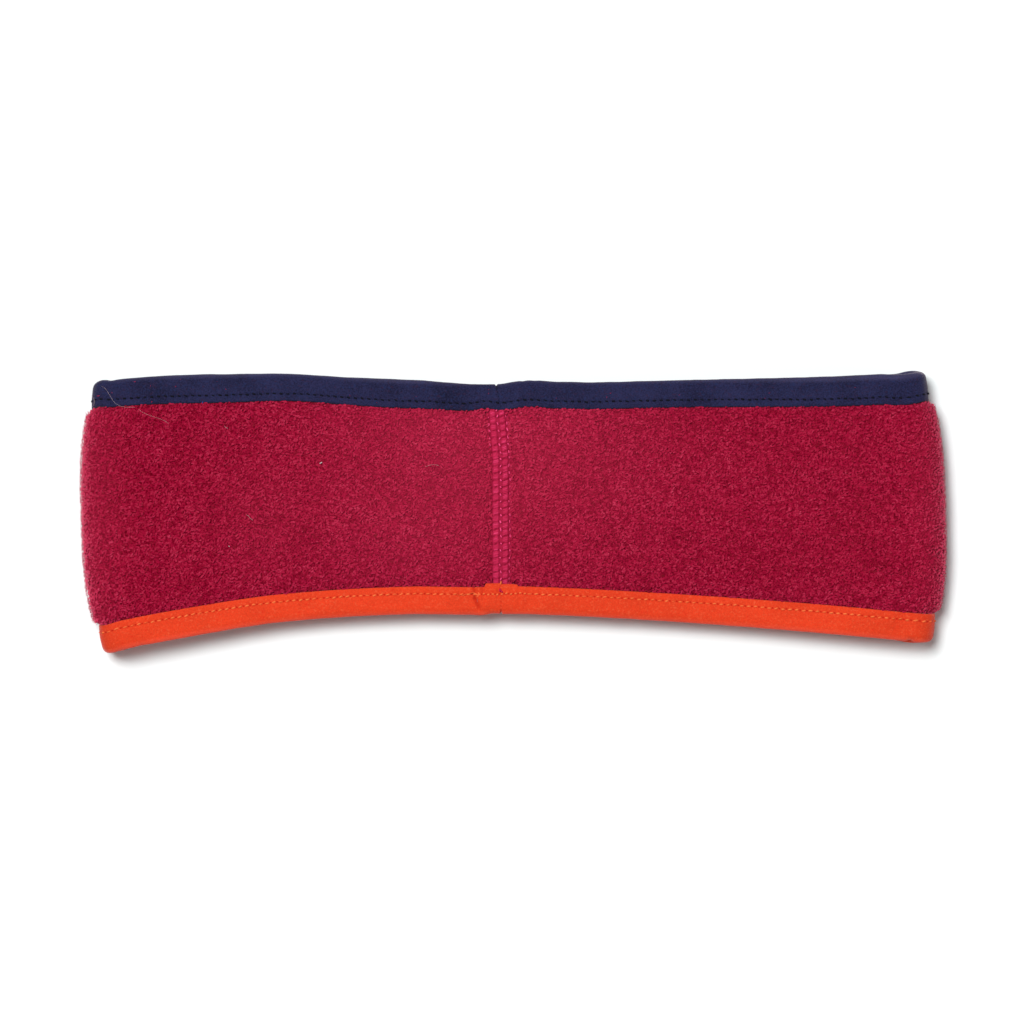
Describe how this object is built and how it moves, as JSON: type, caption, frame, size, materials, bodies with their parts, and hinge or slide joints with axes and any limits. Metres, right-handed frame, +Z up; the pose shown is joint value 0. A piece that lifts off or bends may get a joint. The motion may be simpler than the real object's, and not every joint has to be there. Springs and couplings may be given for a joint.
{
  "type": "ear warmer headband",
  "caption": "Fleece ear warmer headband lying flat: a loop that widens over the ears, with a stretch tape bound over each hem and a flat back seam.",
  "frame": {"origin": "on the surface that it lies on, under the middle of the flat band", "axes": "+X along the flat loop from the left fold to the right one as the back of the band faces up, +Y from the bottom hem to the top one, +Z up"},
  "size_m": [0.2504, 0.0816, 0.0167],
  "materials": {
    "fleece": "deep pink polyester fleece, napped and slightly pilled, matt",
    "top_tape": "navy stretch jersey tape, fine knit, matt",
    "bottom_tape": "orange stretch jersey tape, fine knit, matt",
    "seam_thread": "pink polyester overlock thread, soft sheen"
  },
  "bodies": {
    "root": {"fleece_band": "fleece", "top_binding": "top_tape", "bottom_binding": "bottom_tape", "back_seam": "seam_thread"}
  },
  "joints": []
}
